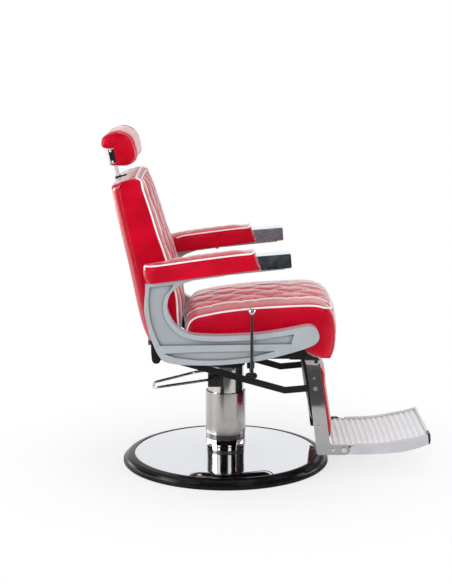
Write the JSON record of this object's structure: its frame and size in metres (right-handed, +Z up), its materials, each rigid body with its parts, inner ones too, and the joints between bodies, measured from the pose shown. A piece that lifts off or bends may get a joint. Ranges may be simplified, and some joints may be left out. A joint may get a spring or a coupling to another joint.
{
  "type": "hydraulic barber chair",
  "caption": "Barber chair on a round base with a hydraulic column: quilted seat and backrest, cast side frames, padded arms, headrest, reclining linkage and swinging footrest.",
  "frame": {"origin": "centre of the round base, on the floor", "axes": "+Z up along the column; +X the way the sitter faces; -Y the sitter's right, the recline lever's side"},
  "size_m": [1.0486, 0.6895, 1.102],
  "materials": {
    "rubber": "satin black rubber",
    "chrome": "polished chrome plate",
    "steel": "bright machined steel",
    "black_steel": "satin black paint",
    "red_steel": "dark red paint",
    "black_plastic": "matt black",
    "plywood": "raw plywood",
    "red_leather": "glossy red leatherette with white piping",
    "cast_frame": "pale blue-grey satin paint on an aluminium casting",
    "foot_alloy": "polished ribbed aluminium"
  },
  "bodies": {
    "base": {"base_edge": "rubber", "base_cover": "chrome", "base_plate": "black_steel", "pump_cylinder": "steel", "pump_gland": "black_steel", "pump_bolts": "steel", "column_sleeve": "chrome", "column_band": "rubber", "column_collar": "chrome", "sleeve_wiper": "rubber"},
    "ram_body": {"ram": "chrome", "piston_seal": "rubber", "thrust_bearing": "steel", "swivel_nut": "steel"},
    "carriage": {"riser_sleeve": "chrome", "swivel_head": "black_steel", "front_channel": "red_steel", "rear_channel": "black_steel", "seat_rails": "black_steel", "cross_members": "black_steel", "seat_board": "plywood", "seat_cushion": "red_leather", "side_frame_right": "cast_frame", "side_frame_left": "cast_frame", "arm_pad_right": "red_leather", "arm_pad_left": "red_leather", "arm_end_right": "chrome", "arm_end_left": "chrome", "arm_screws": "black_steel", "frame_brackets": "black_steel", "frame_bolts": "steel", "hinge_uprights": "black_steel", "footrest_ears": "black_steel", "lever_lugs": "black_steel", "shaft_bearings": "black_steel", "lock_cylinder": "steel"},
    "pump_lever_body": {"pump_lever": "chrome"},
    "backrest": {"back_cushion": "red_leather", "back_panel": "red_leather", "back_base_plate": "black_steel", "hinge_plates": "black_steel", "back_pins": "steel", "post_guide": "black_plastic"},
    "post_body": {"headrest_post": "chrome"},
    "headrest": {"headrest_cushion": "red_leather", "headrest_rail": "chrome", "rail_caps": "black_plastic", "tilt_pin": "steel"},
    "links": {"link_bars": "black_steel"},
    "footrest": {"leg_bars": "chrome", "calf_pad": "red_leather", "calf_panel": "black_plastic", "leg_pins": "steel"},
    "footplate": {"foot_deck": "foot_alloy", "foot_cheeks": "foot_alloy", "foot_nose": "black_plastic"},
    "recline_handle": {"recline_shaft": "black_steel", "recline_lever": "chrome"},
    "lock_rod_body": {"lock_rod": "chrome"},
    "release_body": {"release_rod": "steel"}
  },
  "joints": [
    {"name": "lift", "type": "slide", "parent": "base", "child": "ram_body", "axis": [0, 0, 1], "range_m": [0, 0.15]},
    {"name": "swivel", "type": "hinge", "parent": "ram_body", "child": "carriage", "pos_m": [0, 0, 0.33], "axis": [0, 0, 1], "continuous": true},
    {"name": "pump_stroke", "type": "hinge", "parent": "carriage", "child": "pump_lever_body", "pos_m": [-0.033, 0, 0.291], "axis": [0, -1, 0], "range_deg": [0, 16], "stiffness_Nm_per_rad": 4, "springref_deg": -22.92},
    {"name": "recline", "type": "hinge", "parent": "carriage", "child": "backrest", "pos_m": [-0.219, 0, 0.482], "axis": [0, -1, 0], "range_deg": [0, 35]},
    {"name": "footrest_swing", "type": "hinge", "parent": "carriage", "child": "footrest", "pos_m": [0.285, 0, 0.376], "axis": [0, -1, 0], "range_deg": [0, 35]},
    {"name": "link_swing", "type": "hinge", "parent": "backrest", "child": "links", "pos_m": [-0.219, 0, 0.392], "axis": [0, -1, 0], "range_deg": [-35, 0]},
    {"name": "lock_slide", "type": "slide", "parent": "carriage", "child": "lock_rod_body", "axis": [1, 0, 0], "range_m": [0, 0.0482]},
    {"name": "recline_release", "type": "hinge", "parent": "carriage", "child": "recline_handle", "pos_m": [0.078, 0, 0.368], "axis": [0, -1, 0], "range_deg": [0, 12], "stiffness_Nm_per_rad": 2, "springref_deg": -22.92},
    {"name": "valve_slide", "type": "slide", "parent": "carriage", "child": "release_body", "axis": [-1, 0, 0], "range_m": [0, 0.0086]},
    {"name": "headrest_height", "type": "slide", "parent": "backrest", "child": "post_body", "axis": [-0.2079, 0, 0.9781], "range_m": [0, 0.08]},
    {"name": "headrest_tilt", "type": "hinge", "parent": "post_body", "child": "headrest", "pos_m": [-0.362, 0, 1.02], "axis": [0, -1, 0], "range_deg": [-20, 25]},
    {"name": "footplate_flip", "type": "hinge", "parent": "footrest", "child": "footplate", "pos_m": [0.379, 0, 0.082], "axis": [0, -1, 0], "range_deg": [0, 85]}
  ],
  "couplings": [
    {"joint": "footrest_swing", "follows": "recline", "ratio": 1},
    {"joint": "link_swing", "follows": "recline", "ratio": -1},
    {"joint": "lock_slide", "follows": "recline", "m_per_rad": 0.07877},
    {"joint": "valve_slide", "follows": "recline_release", "m_per_rad": 0.0405}
  ]
}
